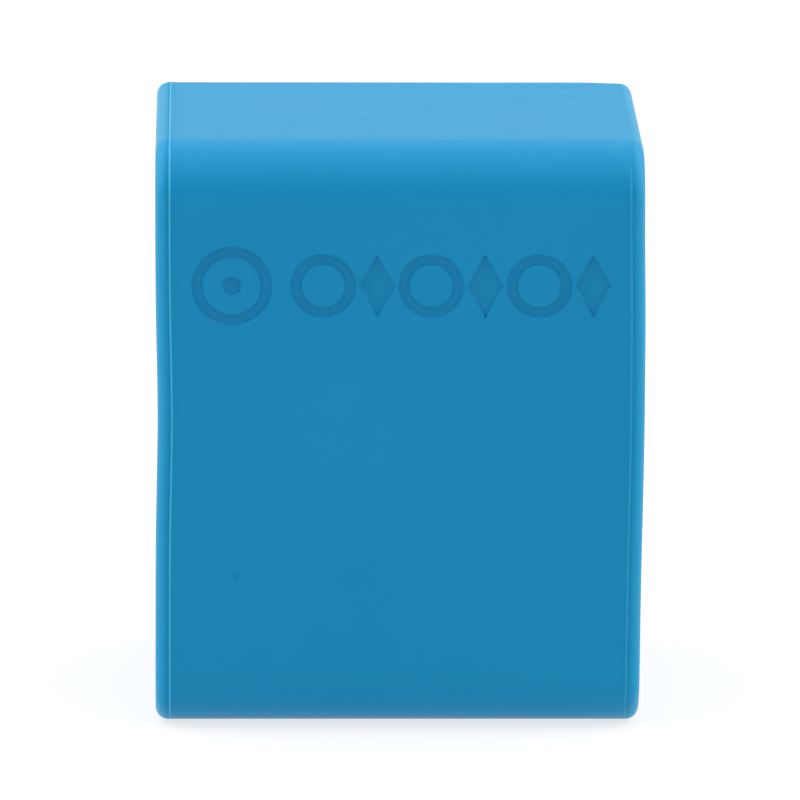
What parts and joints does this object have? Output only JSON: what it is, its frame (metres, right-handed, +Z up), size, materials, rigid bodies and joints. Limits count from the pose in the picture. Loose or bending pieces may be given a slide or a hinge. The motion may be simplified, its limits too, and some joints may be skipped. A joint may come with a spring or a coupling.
{
  "type": "cue chalk case",
  "caption": "Upright pocket case for a cube of cue chalk: a rounded tube, a screwed end cap, and a drawer that slides out sideways with the chalk.",
  "frame": {"origin": "centre of the underside, on the surface that the case stands on", "axes": "+Z up, -Y out of the marked front face, +X the way the drawer slides out"},
  "size_m": [0.036, 0.0286, 0.0443],
  "materials": {
    "shell": "satin, soft moulded",
    "tray_plastic": "fine moulded texture",
    "block_plastic": "fine moulded texture",
    "steel": "zinc plated",
    "magnet": "nickel plated",
    "seal": "matt",
    "tape": "matt foam tape",
    "label": "printed, satin",
    "chalk": "pressed powder, matt"
  },
  "bodies": {
    "case": {"case_sleeve": "shell", "left_end_cap": "shell", "magnet_block": "block_plastic", "keeper_bar": "steel", "base_magnets": "magnet", "guide_pin": "steel", "cap_screws": "steel"},
    "drawer": {"drawer_front": "shell", "dust_seal": "seal", "drawer_tray": "tray_plastic", "front_screws": "steel", "adhesive_pad": "tape", "chalk_label": "label", "chalk_cube": "chalk"}
  },
  "joints": [
    {"name": "drawer_slide", "type": "slide", "parent": "case", "child": "drawer", "axis": [1, 0, 0], "range_m": [0, 0.026]}
  ]
}
